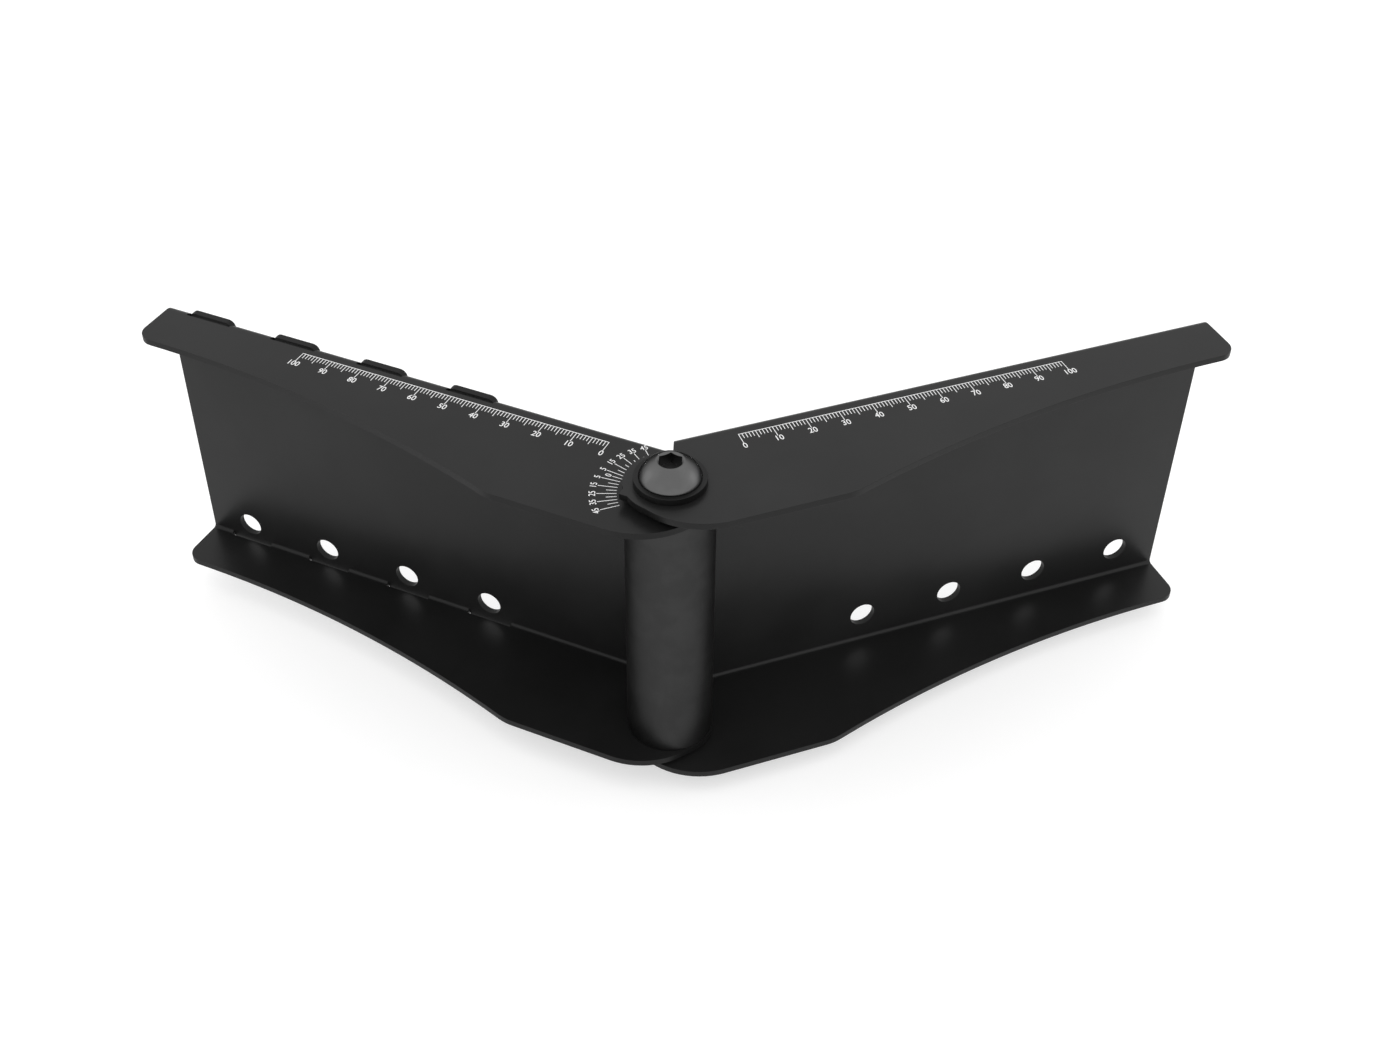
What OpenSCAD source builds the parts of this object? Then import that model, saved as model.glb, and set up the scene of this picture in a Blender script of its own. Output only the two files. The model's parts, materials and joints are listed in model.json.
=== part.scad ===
// Adjustable goniometer: two folded sheet-metal channels that turn on one
// vertical pivot. The inner channel carries the degree scale, and the outer
// channel's pointer reads it. Millimetres, +Z up, stored at the 45 degree stop.

/* [Arms] */
// Distance from the pivot axis to the outer end of each arm
arm_reach = 175; // [150:1:220]
// Outside height of the inner channel
channel_h = 89.5; // [70:0.5:120]
// Thickness of the folded sheet
sheet_t = 2; // [1.5:0.1:2.5]
// Inside radius of the folds
fold_r = 1.2; // [0.8:0.1:1.6]
// Distance from the pivot axis back to the outside of the web
web_back = 18.1; // [17.5:0.1:22]
// Reach of the wide part of the flanges in front of the pivot axis
wide_front = 20.4; // [18:0.1:24]
// Reach of the outer end of the flanges in front of the pivot axis
end_front = 0.6; // [0:0.1:4]
// Distance from the pivot axis to the shoulder where the front edge sweeps back
shoulder_at = 45; // [40:1:60]

/* [Nose] */
// Radius of the nose round the pivot axis
nose_r = 12.8; // [12.5:0.1:13.5]
// Radius of the large front corner of the nose
front_corner_r = 22; // [20:0.5:24]
// Distance along the arm from the pivot axis to the centre of that corner
front_corner_at = 9.8; // [9:0.1:12]
// Distance from the pivot axis to the tip of the pointer
pointer_reach = 14.4; // [14:0.1:16]

/* [Mounting holes] */
// Diameter of the holes in the webs
hole_d = 8; // [5:0.5:9]
// Number of holes in each web
hole_count = 4; // [2:1:4]
// Distance between neighbouring holes
hole_pitch = 30; // [25:1:32]
// Distance from the outer end of the arm to the last hole
hole_end = 15; // [12:1:20]
// Height of the hole centres above the underside of the inner channel
hole_up = 8; // [8:0.5:20]

/* [Upright tabs] */
// Length of each tab where it leaves the fold
tab_base = 15.4; // [10:0.1:20]
// Height of each tab beyond the face of the flange
tab_rise = 0.2; // [0:0.1:1]

/* [Pivot] */
// Diameter of the pivot post
post_d = 25; // [22:0.5:25]
// Diameter of the spigots that centre the post in the inner channel
spigot_d = 16; // [14:0.5:17]
// Outside diameter of the bushes in the outer channel
bush_d = 14; // [13:0.5:16]
// Gap between the flanges, filled by the thrust washers
flange_gap = 2; // [1.5:0.1:3]
// Diameter of the pivot screws' thread
screw_d = 10; // [8:1:10]
// Length of the pivot screws under the head
screw_len = 30; // [20:1:40]
// Outside diameter of the thrust washers
thrust_d = 20; // [18:0.5:24]
// Diameter of the pivot screws' head
head_d = 17.1; // [14:0.1:19]
// Height of the pivot screws' head
head_h = 5.3; // [4:0.1:6]
// Width across flats of the hexagon sockets
socket_af = 6; // [4:0.5:7]
// Depth of the hexagon sockets
socket_depth = 3.4; // [2:0.1:3.6]
// Outside diameter of the plain washers
washer_d = 20; // [19:0.5:22]
// Thickness of the plain washers
washer_t = 2; // [1.5:0.1:2.5]

/* [Motion] */
// Turn of each arm away from the straight line, at the end stop
half_turn = 22.5; // [10:0.5:30]

/* [Hidden] */
$fn = 64;

play = 0.05;                           // running clearance per side
stop_gap = 0.4;                        // gap left between the webs at the end stop
outside_r = fold_r + sheet_t;          // outside radius of the folds
flange_back = web_back - outside_r;    // where the flat of a flange ends
web_front = web_back - sheet_t;
outer_h = channel_h + 2 * (flange_gap + sheet_t);
end_r = 5;                             // outer front corner of a flange
shoulder_r = 15;                       // rounding of the shoulder
bush_len = flange_gap + sheet_t + play;
stack_h = bush_len + washer_t;         // inner channel's face to the screw head's seat
pivot_z = stack_h + head_h;            // floor to the inner channel's underside

// The row's origin is at the middle of the outline, seen from above, and on
// the floor. These place the pivot axis behind or in front of it.
back_y = arm_reach * sin(half_turn) + web_back * cos(half_turn);
corner_y = front_corner_r - wide_front;
front_y = front_corner_at * sin(half_turn) + corner_y * cos(half_turn) - front_corner_r;
pivot_y = -(back_y + front_y) / 2;

// The front edge sweeps from the shoulder to the end corner on one large arc
// that runs out parallel to the arm.
sweep_len = arm_reach - end_r - shoulder_at;
sweep_drop = wide_front - end_front;
sweep_a = 2 * atan(sweep_drop / sweep_len);
sweep_r = sweep_len / sin(sweep_a);
shoulder_cut = shoulder_r * tan(sweep_a / 2);

black = "#2b2c2c";
dark_steel = "#55575a";
bronze = "#8a6a3c";
nylon = "#d9d6cb";

function arc(centre, r, from, to, steps) =
    [for (i = [0:steps]) let (a = from + (to - from) * i / steps)
        [centre[0] + r * cos(a), centre[1] + r * sin(a)]];

// Where an arm's mitred inner end crosses a line at this distance behind the
// pivot axis.
function mitre_at(back) = back * tan(half_turn) + stop_gap / (2 * cos(half_turn));

// One flange seen from above: x runs along the arm and y towards the web.
module flange_outline(with_pointer) {
    sweep_centre = [arm_reach - end_r, -end_front - sweep_r];
    shoulder_centre = [shoulder_at - shoulder_cut, -wide_front + shoulder_r];
    last_a = 90 + sweep_a * (1 - shoulder_cut / sweep_len);
    polygon(concat(
        [[mitre_at(flange_back), flange_back], [mitre_at(0), 0]],
        arc([front_corner_at, corner_y], front_corner_r, 200, 270, 14),
        arc(shoulder_centre, shoulder_r, 270, 270 + sweep_a, 5),
        arc(sweep_centre, sweep_r, last_a, 90, 24),
        arc([arm_reach - end_r, end_r - end_front], end_r, 270, 360, 8),
        [[arm_reach, flange_back]]));
    circle(nose_r);
    if (with_pointer)
        translate([-pointer_reach, 0])
            rotate(-45)
                square(2.5);
}

// The channel's section: y is its height and x runs back to the web.
module fold_section(h) {
    translate([web_front, outside_r])
        square([sheet_t, h - 2 * outside_r]);
    for (top = [0, 1])
        translate([flange_back, top ? h - outside_r : outside_r])
            intersection() {
                difference() {
                    circle(outside_r);
                    circle(fold_r);
                }
                translate([0, top ? 0 : -outside_r])
                    square(outside_r);
            }
}

// What the mitre takes off the inner end of the folds and the web.
module mitre_waste(h) {
    rotate(-half_turn)
        translate([stop_gap / 2 - arm_reach, nose_r, -1])
            cube([arm_reach, arm_reach, h + 2]);
}

// A folded channel lying along +X, with its underside at z = 0.
module channel(h, pivot_hole_d, with_pointer) {
    fold_start = mitre_at(flange_back);
    difference() {
        union() {
            difference() {
                translate([fold_start, 0, 0])
                    rotate([90, 0, 90])
                        linear_extrude(arm_reach - fold_start)
                            fold_section(h);
                mitre_waste(h);
            }
            linear_extrude(sheet_t)
                flange_outline(false);
            translate([0, 0, h - sheet_t])
                linear_extrude(sheet_t)
                    flange_outline(with_pointer);
        }
        translate([0, 0, -1])
            cylinder(h = h + 2, d = pivot_hole_d);
    }
}

module at_holes() {
    for (i = [0:hole_count - 1])
        translate([arm_reach - hole_end - i * hole_pitch, 0, 0])
            children();
}

module web_holes(z) {
    at_holes()
        translate([0, web_back + 1, z])
            rotate([90, 0, 0])
                cylinder(h = sheet_t + 2, d = hole_d);
}

// A slot at the upper fold, and the upright tab that the slot leaves standing.
module tab_slot(h) {
    translate([-tab_base / 2, flange_back, h - outside_r])
        cube([tab_base, outside_r + 1, outside_r + 1]);
}

module upright_tab(h) {
    foot = tab_base / 2;
    corner_r = sheet_t + tab_rise;
    translate([0, web_back, h])
        rotate([90, 0, 0])
            linear_extrude(sheet_t)
                polygon(concat(
                    [[-foot, -outside_r], [foot, -outside_r]],
                    arc([foot - corner_r, -sheet_t], corner_r, 0, 90, 8),
                    arc([corner_r - foot, -sheet_t], corner_r, 90, 180, 8)));
}

module turned_over(h) {
    translate([0, 0, h])
        mirror([0, 0, 1])
            children();
}

// Each side of the pivot stands on the inner channel's outer face.
module above_inner() {
    translate([0, pivot_y, pivot_z + channel_h])
        children();
}

module below_inner() {
    translate([0, pivot_y, pivot_z])
        mirror([0, 0, 1])
            children();
}

module inner_arm() {
    color(black)
    translate([0, pivot_y, pivot_z])
        mirror([1, 0, 0])
            rotate(half_turn) {
                difference() {
                    channel(channel_h, spigot_d + 2 * play, false);
                    web_holes(hole_up);
                    at_holes() {
                        tab_slot(channel_h);
                        turned_over(channel_h) tab_slot(channel_h);
                    }
                }
                at_holes() {
                    upright_tab(channel_h);
                    turned_over(channel_h) upright_tab(channel_h);
                }
            }
}

module outer_arm() {
    drop = flange_gap + sheet_t;
    color(black)
    translate([0, pivot_y, pivot_z - drop])
        rotate(half_turn)
            difference() {
                channel(outer_h, bush_d + 2 * play, true);
                web_holes(hole_up + drop);
            }
}

module pivot_post() {
    bar_h = channel_h - 2 * sheet_t;
    color(black)
    translate([0, pivot_y, pivot_z])
        difference() {
            union() {
                cylinder(h = channel_h, d = spigot_d);
                translate([0, 0, sheet_t])
                    cylinder(h = bar_h, d = post_d);
            }
            for (z = [-1, channel_h - screw_len])
                translate([0, 0, z])
                    cylinder(h = screw_len + 1, d = screw_d + 2 * play);
        }
}

module ring(outside_d, inside_d, h) {
    difference() {
        cylinder(h = h, d = outside_d);
        translate([0, 0, -1])
            cylinder(h = h + 2, d = inside_d);
    }
}

module bush() {
    ring(bush_d, screw_d + 0.5, bush_len);
}

module thrust_washer() {
    ring(thrust_d, bush_d + 2 * play, flange_gap - play);
}

module plain_washer() {
    translate([0, 0, bush_len])
        ring(washer_d, screw_d + 0.5, washer_t);
}

// A button-head screw: a short land, a crown on one arc, a flat, and a socket
// with a lead-in cone.
module button_screw() {
    land = 0.35;
    flat_r = 3.8;
    lead_r = socket_af / 2 / cos(30) + 0.1;
    lead_h = (lead_r - socket_af / 2) * tan(30);
    head_r = head_d / 2;
    drop = (head_r ^ 2 + land ^ 2 - flat_r ^ 2 - head_h ^ 2) / (2 * (head_h - land));
    crown_r = sqrt(flat_r ^ 2 + (head_h + drop) ^ 2);
    edge_a = atan2(land + drop, head_r);
    flat_a = atan2(head_h + drop, flat_r);
    translate([0, 0, stack_h])
        difference() {
            union() {
                rotate_extrude()
                    polygon(concat([[0, 0], [head_r, 0]],
                                   arc([0, -drop], crown_r, edge_a, flat_a, 10),
                                   [[0, head_h]]));
                translate([0, 0, -screw_len])
                    cylinder(h = screw_len + 1, d = screw_d);
            }
            translate([0, 0, head_h - socket_depth])
                rotate(30)
                    cylinder(h = socket_depth + 1, d = socket_af / cos(30), $fn = 6);
            translate([0, 0, head_h - lead_h])
                cylinder(h = 2 * lead_h, r1 = lead_r - lead_h / tan(30),
                         r2 = lead_r + lead_h / tan(30));
        }
}

module upper_bush() { color(bronze) above_inner() bush(); }
module lower_bush() { color(bronze) below_inner() bush(); }
module upper_thrust_washer() { color(nylon) above_inner() thrust_washer(); }
module lower_thrust_washer() { color(nylon) below_inner() thrust_washer(); }
module upper_washer() { color(black) above_inner() plain_washer(); }
module lower_washer() { color(black) below_inner() plain_washer(); }
module upper_screw() { color(dark_steel) above_inner() button_screw(); }
module lower_screw() { color(dark_steel) below_inner() button_screw(); }

inner_arm();
outer_arm();
pivot_post();
upper_bush();
lower_bush();
upper_thrust_washer();
lower_thrust_washer();
upper_washer();
lower_washer();
upper_screw();
lower_screw();
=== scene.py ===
"""Adjustable goniometer: finishes, printed scales, light and camera round the
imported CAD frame. Metres, +Z up. The two arms turn on one vertical pivot."""
import json
from math import cos, pi, radians, sin

import bmesh
import bpy
from mathutils import Matrix, Vector

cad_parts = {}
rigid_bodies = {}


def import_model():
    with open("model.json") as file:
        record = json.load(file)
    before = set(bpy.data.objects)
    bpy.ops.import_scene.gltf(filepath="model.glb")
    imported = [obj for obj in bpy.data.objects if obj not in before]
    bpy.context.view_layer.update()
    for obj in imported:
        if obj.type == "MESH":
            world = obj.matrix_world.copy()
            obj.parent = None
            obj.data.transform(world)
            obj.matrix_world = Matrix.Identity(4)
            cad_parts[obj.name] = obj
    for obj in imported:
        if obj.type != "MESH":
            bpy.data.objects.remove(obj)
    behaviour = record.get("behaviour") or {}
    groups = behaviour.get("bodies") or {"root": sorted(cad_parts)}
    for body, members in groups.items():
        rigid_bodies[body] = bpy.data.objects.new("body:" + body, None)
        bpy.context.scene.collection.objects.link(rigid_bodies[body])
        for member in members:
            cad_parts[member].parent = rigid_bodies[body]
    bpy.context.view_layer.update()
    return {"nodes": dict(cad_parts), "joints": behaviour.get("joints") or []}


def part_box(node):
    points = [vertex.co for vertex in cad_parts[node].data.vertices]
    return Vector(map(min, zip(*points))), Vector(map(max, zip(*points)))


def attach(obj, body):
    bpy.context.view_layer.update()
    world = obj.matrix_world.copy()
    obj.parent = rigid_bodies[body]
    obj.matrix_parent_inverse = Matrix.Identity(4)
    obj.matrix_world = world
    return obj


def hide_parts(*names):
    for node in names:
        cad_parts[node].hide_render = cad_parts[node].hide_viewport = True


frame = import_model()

MM = 0.001
HALF_TURN = radians(22.5)              # turn of each arm away from the straight line
SHEET = 2.0 * MM                       # thickness of the folded sheet
EASED = 0.10 * MM                      # width of the rounding on a sheet's edges
FLAT = radians(0.05)                   # faces that meet at less than this are one
SHARP = radians(28)                    # edges that meet at more than this are eased
CREASE = radians(40)                   # edges that still shade as edges afterwards

pivot = Vector(frame["joints"][0]["pos_m"])


def top_of(node):
    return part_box(node)[1].z


# ---------------------------------------------------------------- node graphs

class Wire:
    """One output of a node, which can be used in sums."""

    def __init__(self, graph, socket):
        self.graph = graph
        self.socket = socket

    def sum(self, operation, first, second):
        return self.graph.node("ShaderNodeMath", {"operation": operation},
                               {0: first, 1: second})

    def __add__(self, other):
        return self.sum("ADD", self, other)

    def __radd__(self, other):
        return self.sum("ADD", other, self)

    def __sub__(self, other):
        return self.sum("SUBTRACT", self, other)

    def __rsub__(self, other):
        return self.sum("SUBTRACT", other, self)

    def __mul__(self, other):
        return self.sum("MULTIPLY", self, other)

    def __rmul__(self, other):
        return self.sum("MULTIPLY", other, self)

    def __mod__(self, other):
        return self.sum("MODULO", self, other)

    def __lt__(self, other):
        return self.sum("LESS_THAN", self, other)

    def __gt__(self, other):
        return self.sum("GREATER_THAN", self, other)


class Graph:
    """A shader or geometry tree."""

    def __init__(self, tree):
        self.tree = tree
        tree.nodes.clear()

    def feed(self, socket, value):
        if isinstance(value, Wire):
            self.tree.links.new(value.socket, socket)
        else:
            socket.default_value = value

    def node(self, kind, settings=None, values=None, out=0):
        """Adds a node: its settings first, then its sockets, by name or place."""
        node = self.tree.nodes.new(kind)
        for name, value in (settings or {}).items():
            setattr(node, name, value)
        for name, value in (values or {}).items():
            if isinstance(name, int):
                socket = node.inputs[name]
            else:
                socket = next(s for s in node.inputs if s.name == name and s.enabled)
            if isinstance(value, list):
                for wire in value:
                    self.tree.links.new(wire.socket, socket)
            else:
                self.feed(socket, value)
        outputs = [s for s in node.outputs if s.enabled]
        return Wire(self, outputs[out]) if outputs else None


# ------------------------------------------------------------------ materials

class Finish(Graph):
    """A surface finish whose grain follows the piece's own coordinates."""

    def __init__(self, name):
        self.material = bpy.data.materials.new(name)
        self.material.use_nodes = True
        super().__init__(self.material.node_tree)
        self.place = self.node("ShaderNodeTexCoord", out=3)

    def speckle(self, size, detail=2.0):
        """Soft noise from 0 to 1 whose spots are about this size in metres."""
        return self.node("ShaderNodeTexNoise", {"noise_dimensions": "3D"},
                         {"Vector": self.place, "Scale": 1.0 / size,
                          "Detail": detail, "Roughness": 0.5})

    def step(self, value, low, high):
        return self.node("ShaderNodeMapRange", {"interpolation_type": "SMOOTHSTEP"},
                         {"Value": value, "From Min": low, "From Max": high})

    def blend(self, share, first, second):
        return self.node("ShaderNodeMix", {"data_type": "RGBA"},
                         {"Factor": share, "A": first, "B": second})

    def marked(self, name):
        """1 on the faces that carry this mark."""
        return self.node("ShaderNodeAttribute", {"attribute_name": name}, out=2)

    def worn(self):
        """1 on the eased edges, broken up where the rubbing missed them. It marks
        where colour is lightened, partly as wear and partly as a painted highlight.
        """
        missed = self.step(self.speckle(2.6 * MM, 3.0), 0.35, 0.75)
        return self.marked("eased_edge") * missed

    def bump(self, height, depth):
        return self.node("ShaderNodeBump", {},
                         {"Strength": 1.0, "Distance": depth, "Height": height})

    def shade(self, colour, roughness, normal=None, **constants):
        """The shader and the finished material. Constants are socket names with
        underscores for spaces."""
        values = {"Base Color": colour, "Roughness": roughness}
        if normal is not None:
            values["Normal"] = normal
        for name, value in constants.items():
            values[name.replace("_", " ")] = value
        shader = self.node("ShaderNodeBsdfPrincipled", {}, values)
        self.node("ShaderNodeOutputMaterial", {}, {"Surface": shader})
        return self.material


def grey(value):
    return (value, value, value, 1.0)


def wavering(middle, spread, *noises):
    """A value that strays from the middle with each of these noises."""
    for noise in noises:
        middle = middle + spread * (noise - 0.5)
    return middle


def patchy(f, cloud, low, high):
    """A grey that drifts between two values."""
    return f.blend(f.step(cloud, 0.3, 0.7), grey(low), grey(high))


def powder_coat(name, dark, rough, gloss):
    """Fine black powder coat: a faint orange peel under a finer grain. It is
    rougher on the cut edges of the sheet, and painted shade darkens them there."""
    f = Finish(name)
    peel = f.speckle(0.9 * MM, 2.0)
    grain = f.speckle(0.22 * MM, 1.0)
    cloud = f.speckle(28 * MM, 3.0)
    worn = f.worn()
    cut = f.marked("cut_edge")
    base = patchy(f, cloud, dark * 0.85, dark * 1.15)
    # painted shade: the cut edges are blended most of the way to black to dull their
    # reflection of the bright floor
    cut_edges_painted_dark = f.blend(cut * 0.7, base, grey(0.0))
    # the eased edges are painted lighter, partly as wear and partly as a painted
    # highlight
    colour = f.blend(worn * 0.4, cut_edges_painted_dark, grey(dark * 1.5))
    roughness = wavering(rough, 0.05, cloud, grain) + 0.12 * cut
    normal = f.bump(peel * 0.75 + grain * 0.25, 0.006 * MM)
    return f.shade(colour, roughness, normal, Specular_IOR_Level=gloss)


def black_oxide(name, dark, rough, rim):
    """Oiled black-oxide steel, lighter on the edges, partly where they rubbed and
    partly as a painted highlight. Rim is how bright it stays at a grazing angle."""
    f = Finish(name)
    cloud = f.speckle(6 * MM, 3.0)
    grain = f.speckle(0.12 * MM, 1.0)
    worn = f.worn()
    base = patchy(f, cloud, dark * 0.93, dark * 1.07)
    # wear and a painted highlight: the eased edges are lightened
    colour = f.blend(worn * 0.4, base, grey(dark * 1.26))
    roughness = wavering(rough, 0.06, cloud, grain) - 0.06 * worn
    normal = f.bump(grain, 0.002 * MM)
    return f.shade(colour, roughness, normal, Metallic=1.0, Specular_Tint=grey(rim))


def washer_black(name):
    """Blackened washer steel, duller than the screw."""
    f = Finish(name)
    cloud = f.speckle(5 * MM, 3.0)
    grain = f.speckle(0.15 * MM, 1.0)
    worn = f.worn()
    base = patchy(f, cloud, 0.003, 0.005)
    # wear and a painted highlight: the eased edges are lightened to a dark grey
    colour = f.blend(worn * 0.4, base, grey(0.012))
    roughness = wavering(0.40, 0.06, cloud, grain) - 0.06 * worn
    return f.shade(colour, roughness, f.bump(grain, 0.003 * MM),
                   Specular_IOR_Level=0.22)


def black_nylon(name):
    """Moulded black nylon, matt, with a faint mould grain. Used where it hardly
    shows, between the flanges."""
    f = Finish(name)
    cloud = f.speckle(4 * MM, 2.0)
    grain = f.speckle(0.2 * MM, 2.0)
    colour = f.blend(cloud, grey(0.012), grey(0.02))
    roughness = 0.55 + 0.1 * (grain - 0.5) + 0.06 * (cloud - 0.5)
    return f.shade(colour, roughness, f.bump(grain, 0.01 * MM),
                   Specular_IOR_Level=0.4)


def sintered_bronze(name):
    """Oil-filled bronze with fine open pores."""
    f = Finish(name)
    cloud = f.speckle(3 * MM, 3.0)
    grain = f.speckle(0.1 * MM, 2.0)
    pores = f.step(grain, 0.28, 0.42)
    base = f.blend(cloud, (0.30, 0.19, 0.085, 1.0), (0.42, 0.27, 0.12, 1.0))
    colour = f.blend(1 - pores, base, (0.05, 0.032, 0.016, 1.0))
    roughness = 0.34 + 0.12 * (cloud - 0.5) + 0.2 * (1 - pores)
    return f.shade(colour, roughness, f.bump(pores, 0.01 * MM), Metallic=1.0)


def white_ink(name):
    """Printed white ink, a little uneven in cover."""
    f = Finish(name)
    cover = f.speckle(0.7 * MM, 2.0)
    colour = f.blend(f.step(cover, 0.25, 0.6), grey(0.80), grey(0.88))
    roughness = 0.5 + 0.12 * (cover - 0.5)
    return f.shade(colour, roughness, f.bump(cover, 0.004 * MM))


inner_coat = powder_coat("inner_arm_powder_coat", 0.011, 0.34, 0.20)
outer_coat = powder_coat("outer_arm_powder_coat", 0.012, 0.34, 0.23)
post_oxide = black_oxide("pivot_post_coat", 0.045, 0.42, 0.40)
screw_oxide = black_oxide("black_oxide_steel", 0.119, 0.30, 0.15)
washer_finish = washer_black("blackened_washer")
nylon = black_nylon("black_nylon")
bronze = sintered_bronze("sintered_bronze")
ink = white_ink("white_print")


# ------------------------------------------------------------- eased CAD parts

def link(obj):
    bpy.context.scene.collection.objects.link(obj)
    return obj


def drop(obj):
    data = obj.data
    bpy.data.objects.remove(obj)
    if isinstance(data, bpy.types.Mesh):
        bpy.data.meshes.remove(data)
    elif isinstance(data, bpy.types.Curve):
        bpy.data.curves.remove(data)


def settle(obj):
    """The plain mesh that an object's modifiers or its text make."""
    bpy.context.view_layer.update()
    graph = bpy.context.evaluated_depsgraph_get()
    mesh = bpy.data.meshes.new_from_object(obj.evaluated_get(graph), depsgraph=graph)
    drop(obj)
    return mesh


def is_cut(face):
    """Whether a face crosses the sheet: four sides, two as long as it is thick."""
    across = [e for e in face.edges if abs(e.calc_length() - SHEET) < 0.1 * MM]
    return len(face.edges) == 4 and len(across) > 1


def eased(node, name, finish, width):
    """A copy of a CAD part with its sharp edges rounded, standing for the part."""
    bm = bmesh.new()
    bm.from_mesh(frame["nodes"][node].data)
    for layer in list(bm.loops.layers.float_vector):
        bm.loops.layers.float_vector.remove(layer)
    rim = bm.faces.layers.float.new("eased_edge")
    cut = bm.faces.layers.float.new("cut_edge")
    bmesh.ops.remove_doubles(bm, verts=bm.verts, dist=0.001 * MM)
    bmesh.ops.dissolve_limit(bm, angle_limit=FLAT, verts=bm.verts,
                             edges=bm.edges, use_dissolve_boundaries=False)
    for face in bm.faces:
        face[cut] = 1.0 if is_cut(face) else 0.0
    edges = [e for e in bm.edges if e.calc_face_angle(0) > SHARP]
    made = bmesh.ops.bevel(bm, geom=edges, offset=width, offset_type="OFFSET",
                           segments=2, profile=0.5, affect="EDGES",
                           clamp_overlap=True)
    for face in made["faces"]:
        face[rim] = 1.0
    for face in bm.faces:
        face.smooth = True
        face.material_index = 0
    for edge in bm.edges:
        edge.smooth = edge.calc_face_angle(0) < CREASE
    mesh = bpy.data.meshes.new(name)
    bm.to_mesh(mesh)
    bm.free()
    mesh.materials.clear()
    mesh.materials.append(finish)
    part = link(bpy.data.objects.new(name, mesh))
    shading = part.modifiers.new("even_faces", "WEIGHTED_NORMAL")
    shading.keep_sharp = True
    shading.weight = 100
    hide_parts(node)
    return part


def fitted(node, name, finish, body, width=EASED):
    part = eased(node, name, finish, width)
    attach(part, body)
    return part


fitted("inner_arm", "inner_arm_coated", inner_coat, "inner_arm")
fitted("outer_arm", "outer_arm_coated", outer_coat, "outer_arm")
fitted("pivot_post", "pivot_post_turned", post_oxide, "inner_arm")
for side in ("upper", "lower"):
    fitted(side + "_screw", side + "_screw_head", screw_oxide, "inner_arm",
           0.15 * MM)
    fitted(side + "_washer", side + "_washer_eased", washer_finish, "inner_arm",
           0.12 * MM)
    fitted(side + "_thrust_washer", side + "_thrust_ring", nylon, "inner_arm",
           0.15 * MM)
    fitted(side + "_bush", side + "_bush_eased", bronze, "inner_arm",
           0.15 * MM)


# --------------------------------------------------------------- printed marks

def new_tree(name, inputs):
    """A geometry tree with named inputs; gives the graph and its input wires."""
    tree = bpy.data.node_groups.new(name, "GeometryNodeTree")
    for label, kind in inputs.items():
        tree.interface.new_socket(label, in_out="INPUT", socket_type=kind)
    tree.interface.new_socket("Geometry", in_out="OUTPUT",
                              socket_type="NodeSocketGeometry")
    graph = Graph(tree)
    group = tree.nodes.new("NodeGroupInput")
    wires = {label: Wire(graph, group.outputs[label]) for label in inputs}
    return graph, wires


def finish_tree(graph, parts, material):
    """Joins the parts, makes them real, and inks them."""
    joined = graph.node("GeometryNodeJoinGeometry", {}, {"Geometry": parts})
    real = graph.node("GeometryNodeRealizeInstances", {}, {"Geometry": joined})
    inked = graph.node("GeometryNodeSetMaterial", {},
                       {"Geometry": real, "Material": material})
    graph.node("NodeGroupOutput", {}, {"Geometry": inked})
    return graph.tree


INK = 0.04 * MM                        # thickness of the printed marks
SUNK = 0.01 * MM                       # how far the marks sit in the coat
STROKE = 0.20 * MM                     # width of the printed lines
SPREAD = 0.012 * MM                    # how far the ink runs out round a digit
RULER_START = 24.5 * MM                # pivot axis to the ruler's zero
BASE_LINE = 12.75 * MM                 # pivot axis back to the ruler's base line
NUMBER_FOOT = 6.7 * MM                 # pivot axis back to the foot of the numbers
NUMBER_H = 2.25 * MM                   # height of the ruler's numbers
DEGREE_H = 1.9 * MM                    # height of the degree numbers
DEGREE_FOOT = 20.0 * MM                # pivot axis to the foot of the degree numbers
ZERO_FOOT = 17.5 * MM                  # the same for the zero, between the rays
DIGIT_SHARE = 0.729                    # height of a digit over the font's size
CONDENSED = 0.86                       # width of the print's digits over the font's

FLOAT = "NodeSocketFloat"
COMMON = {"Count": "NodeSocketInt", "Short": FLOAT, "Long": FLOAT,
          "Stroke": FLOAT, "Thickness": FLOAT, "Ink": "NodeSocketMaterial"}


def vector(graph, x=0.0, y=0.0, z=0.0):
    return graph.node("ShaderNodeCombineXYZ", {}, {"X": x, "Y": y, "Z": z})


def block(graph, shift):
    """A block one unit across, moved so that it grows from the right face."""
    cube = graph.node("GeometryNodeMeshCube", {}, {"Size": (1.0, 1.0, 1.0)})
    return graph.node("GeometryNodeTransform", {},
                      {"Geometry": cube, "Translation": shift})


def ruler_tree():
    """Ticks that hang from a straight base line: long every tenth, middle every
    fifth, and short between them."""
    g, w = new_tree("ruler_marks", dict(COMMON, Pitch=FLOAT, Middle=FLOAT))
    index = g.node("GeometryNodeInputIndex")
    fifth = index % 5 < 0.5
    tenth = index % 10 < 0.5
    length = w["Short"] + (w["Middle"] - w["Short"]) * fifth \
        + (w["Long"] - w["Middle"]) * tenth
    line = g.node("GeometryNodeMeshLine", {"mode": "OFFSET"},
                  {"Count": w["Count"], "Offset": vector(g, x=w["Pitch"])})
    ticks = g.node("GeometryNodeInstanceOnPoints", {},
                   {"Points": line, "Instance": block(g, (0.0, -0.5, 0.5)),
                    "Scale": vector(g, w["Stroke"], length, w["Thickness"])})
    reach = w["Pitch"] * (w["Count"] - 1)
    base = g.node("GeometryNodeTransform", {},
                  {"Geometry": block(g, (0.5, 0.5, 0.5)),
                   "Translation": vector(g, x=w["Stroke"] * -0.5),
                   "Scale": vector(g, reach + w["Stroke"], w["Stroke"],
                                   w["Thickness"])})
    return finish_tree(g, [ticks, base], w["Ink"])


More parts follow.
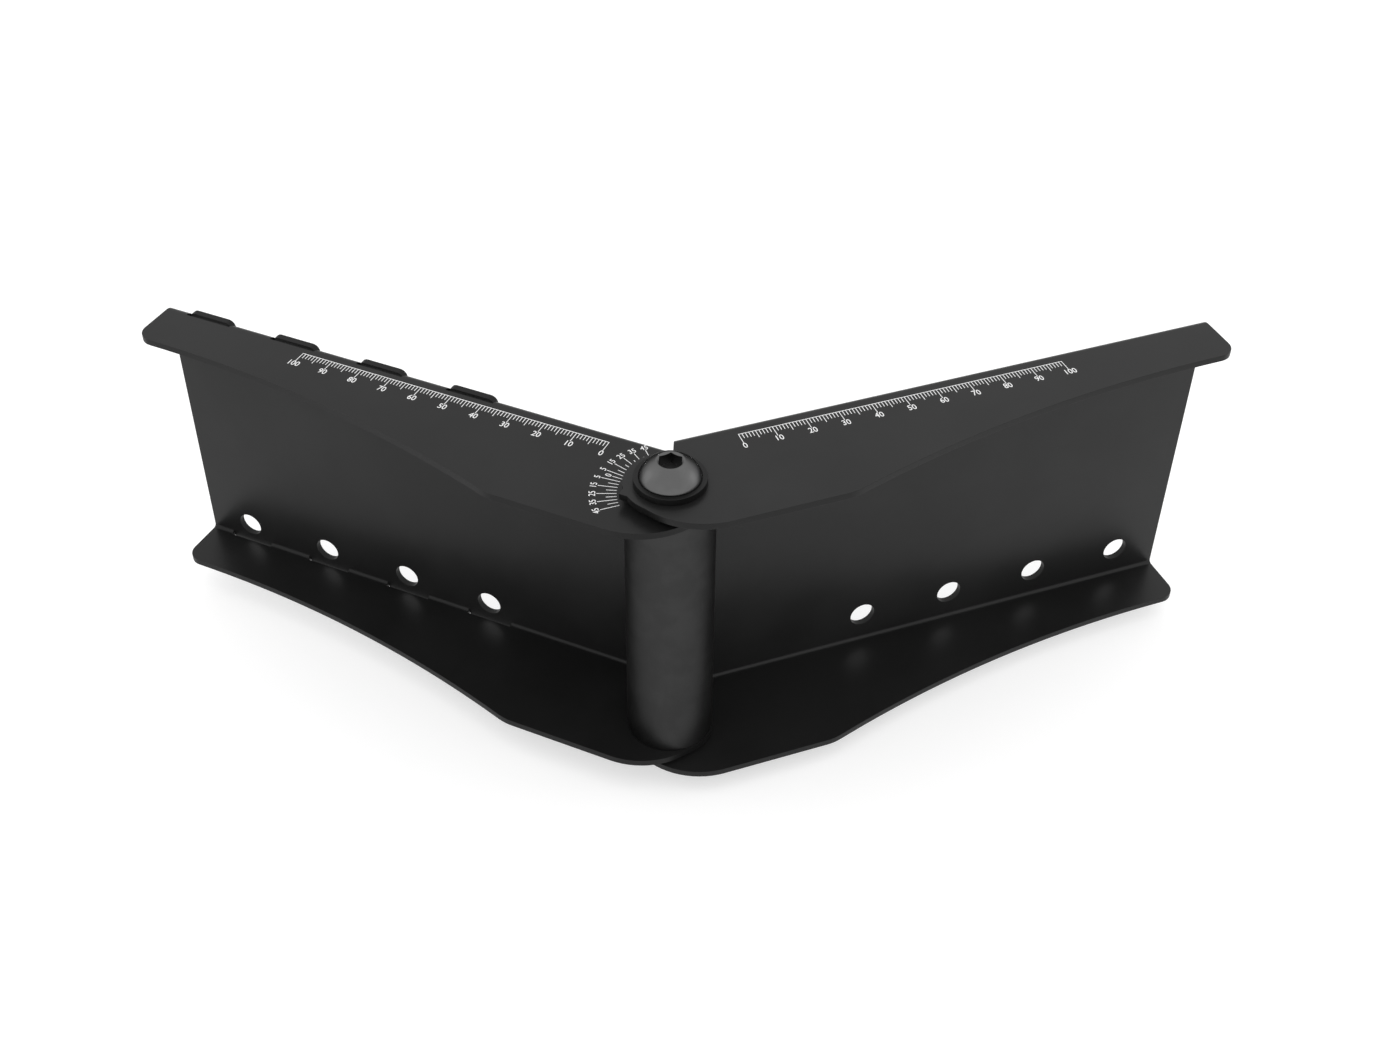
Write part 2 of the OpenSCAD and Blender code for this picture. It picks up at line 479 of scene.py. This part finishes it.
def protractor_tree():
    """Rays round a centre, long and short in turn."""
    g, w = new_tree("protractor_marks", dict(COMMON, Step=FLOAT, Radius=FLOAT))
    index = g.node("GeometryNodeInputIndex")
    angle = (index - (w["Count"] - 1) * 0.5) * w["Step"]
    odd = index % 2 > 0.5
    length = w["Long"] + (w["Short"] - w["Long"]) * odd
    across = g.node("ShaderNodeMath", {"operation": "COSINE"}, {0: angle})
    up = g.node("ShaderNodeMath", {"operation": "SINE"}, {0: angle})
    line = g.node("GeometryNodeMeshLine", {"mode": "OFFSET"}, {"Count": w["Count"]})
    points = g.node("GeometryNodeSetPosition", {},
                    {"Geometry": line,
                     "Position": vector(g, w["Radius"] * across, w["Radius"] * up)})
    rays = g.node("GeometryNodeInstanceOnPoints", {},
                  {"Points": points, "Instance": block(g, (0.5, 0.0, 0.5)),
                   "Rotation": vector(g, z=angle),
                   "Scale": vector(g, length, w["Stroke"], w["Thickness"])})
    return finish_tree(g, [rays], w["Ink"])


def grow(name, tree, values):
    """Runs a tree with these inputs and keeps the plain mesh that it makes."""
    holder = link(bpy.data.objects.new(name, bpy.data.meshes.new(name)))
    modifier = holder.modifiers.new("marks", "NODES")
    modifier.node_group = tree
    for item in tree.interface.items_tree:
        if item.name in values:
            modifier[item.identifier] = values[item.name]
    return settle(holder)


def text_mesh(label, height):
    """One printed number, centred on the origin, its feet on the X axis."""
    curve = bpy.data.curves.new(label, "FONT")
    curve.body = label
    curve.align_x = "CENTER"
    curve.resolution_u = 3
    curve.size = height / DIGIT_SHARE
    curve.offset = SPREAD
    curve.extrude = INK / 2
    mesh = settle(link(bpy.data.objects.new(label, curve)))
    mesh.transform(Matrix.Scale(CONDENSED, 4, (1, 0, 0)))
    return mesh


def gather(name, meshes, body):
    """One piece of print, from meshes and their places."""
    bm = bmesh.new()
    for mesh, place in meshes:
        mesh.transform(place)
        bm.from_mesh(mesh)
        bpy.data.meshes.remove(mesh)
    bmesh.ops.remove_doubles(bm, verts=bm.verts, dist=0.002 * MM)
    bmesh.ops.recalc_face_normals(bm, faces=bm.faces)
    for face in bm.faces:
        face.smooth = False
        face.material_index = 0
    mesh = bpy.data.meshes.new(name)
    bm.to_mesh(mesh)
    bm.free()
    mesh.materials.clear()
    mesh.materials.append(ink)
    piece = link(bpy.data.objects.new(name, mesh))
    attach(piece, body)
    return piece


marks = ruler_tree()
rays = protractor_tree()
ruler_sizes = {"Count": 101, "Pitch": 1.0 * MM, "Short": 2.0 * MM,
               "Middle": 3.0 * MM, "Long": 4.0 * MM, "Stroke": STROKE,
               "Thickness": INK, "Ink": ink}
protractor_sizes = {"Count": 19, "Step": radians(5), "Radius": 14.3 * MM,
                    "Short": 2.9 * MM, "Long": 5.4 * MM, "Stroke": STROKE,
                    "Thickness": INK, "Ink": ink}


def ruler(name, arm, side):
    """The millimetre scale on an arm's top flange. Side is +1 where the arm runs
    along +X and -1 where it runs the other way."""
    face = top_of("outer_arm") if side > 0 else top_of("pivot_post")
    stand = Matrix.Translation((pivot.x, pivot.y, face - SUNK))
    arm_frame = stand @ Matrix.Rotation(side * HALF_TURN, 4, "Z")
    line = grow(name, marks, ruler_sizes)
    if side < 0:
        line.transform(Matrix.Scale(-1, 4, (1, 0, 0)))
    start = Matrix.Translation((side * RULER_START, BASE_LINE, 0))
    parts = [(line, arm_frame @ start)]
    for tens in range(11):
        place = Matrix.Translation((side * (RULER_START + tens * 10 * MM),
                                    NUMBER_FOOT, INK / 2))
        number = text_mesh(str(tens * 10), NUMBER_H)
        parts.append((number, arm_frame @ place))
    return gather(name, parts, arm)


def protractor(name):
    """The degree scale on the inner arm, read by the outer arm's pointer."""
    stand = Matrix.Translation((pivot.x, pivot.y, top_of("pivot_post") - SUNK))
    arm_way = pi - HALF_TURN
    parts = [(grow(name, rays, protractor_sizes),
              stand @ Matrix.Rotation(arm_way, 4, "Z"))]
    feet = {degree: DEGREE_FOOT for degree in range(-45, 50, 10)}
    feet[0] = ZERO_FOOT
    for degree, foot in feet.items():
        place = Matrix.Rotation(arm_way + radians(degree) - pi / 2, 4, "Z") \
            @ Matrix.Translation((0, foot, INK / 2))
        parts.append((text_mesh(str(abs(degree)), DEGREE_H), stand @ place))
    return gather(name, parts, "inner_arm")


ruler("inner_ruler_print", "inner_arm", -1)
ruler("outer_ruler_print", "outer_arm", 1)
protractor("degree_scale_print")


# ------------------------------------------------------- floor, light, camera

def floor():
    f = Finish("pale_floor")
    cloud = f.speckle(0.6, 2.0)
    colour = f.blend(cloud, grey(0.58), grey(0.62))
    material = f.shade(colour, 0.9 + 0.05 * (cloud - 0.5), Specular_IOR_Level=0.1,
                       Emission_Color=(1.0, 1.0, 1.0, 1.0), Emission_Strength=0.52)
    bm = bmesh.new()
    bmesh.ops.create_circle(bm, cap_ends=True, segments=64, radius=6.0)
    mesh = bpy.data.meshes.new("floor")
    bm.to_mesh(mesh)
    bm.free()
    mesh.materials.append(material)
    link(bpy.data.objects.new("floor", mesh))


def softbox(name, way):
    """A square soft light that looks at the pivot from this direction."""
    distance = 2.5
    data = bpy.data.lights.new(name, "AREA")
    data.shape = "SQUARE"
    data.size = 1.2
    data.energy = 2.0
    lamp = link(bpy.data.objects.new(name, data))
    aim = Vector(way).normalized()
    lamp.location = pivot + aim * distance
    lamp.rotation_euler = aim.to_track_quat("Z", "Y").to_euler()


def room():
    """White light all round, weaker low down behind the object."""
    world = bpy.data.worlds.new("studio")
    world.use_nodes = True
    g = Graph(world.node_tree)
    way = g.node("ShaderNodeTexCoord", out=3)
    behind = g.node("ShaderNodeVectorMath", {"operation": "DOT_PRODUCT"},
                    {0: way, 1: (0.0, 1.0, -0.6)})
    shade = g.node("ShaderNodeMapRange", {"interpolation_type": "SMOOTHSTEP"},
                   {"Value": behind, "From Min": 0.4, "From Max": 0.95})
    light = g.node("ShaderNodeBackground", {},
                   {"Color": (1.0, 1.0, 1.0, 1.0), "Strength": 1.15 - 0.7 * shade})
    g.node("ShaderNodeOutputWorld", {}, {"Surface": light})
    bpy.context.scene.world = world


def camera():
    """Above the front of the pivot, a little to the outer arm's side."""
    azimuth = radians(2.5)
    elevation = radians(40.7)
    distance = 467.4 * MM
    target = Vector((-1.19 * MM, pivot.y - 12.91 * MM, top_of("pivot_post")))
    back = Vector((sin(azimuth) * cos(elevation), -cos(azimuth) * cos(elevation),
                   sin(elevation)))
    data = bpy.data.cameras.new("camera")
    data.sensor_width = 36.0
    data.lens = 46.13
    data.shift_x = 0.0259
    data.clip_start = 0.01
    eye = link(bpy.data.objects.new("camera", data))
    eye.location = target + back * distance
    eye.rotation_euler = back.to_track_quat("Z", "Y").to_euler()
    bpy.context.scene.camera = eye


for spare in [o for o in bpy.data.objects if o.name in ("Cube", "Light", "Camera")]:
    bpy.data.objects.remove(spare)
floor()
room()
softbox("left_softbox", (-0.93, 0.2, 0.3))
softbox("right_softbox", (0.93, 0.2, 0.3))
camera()
bpy.context.scene.view_settings.view_transform = "Standard"
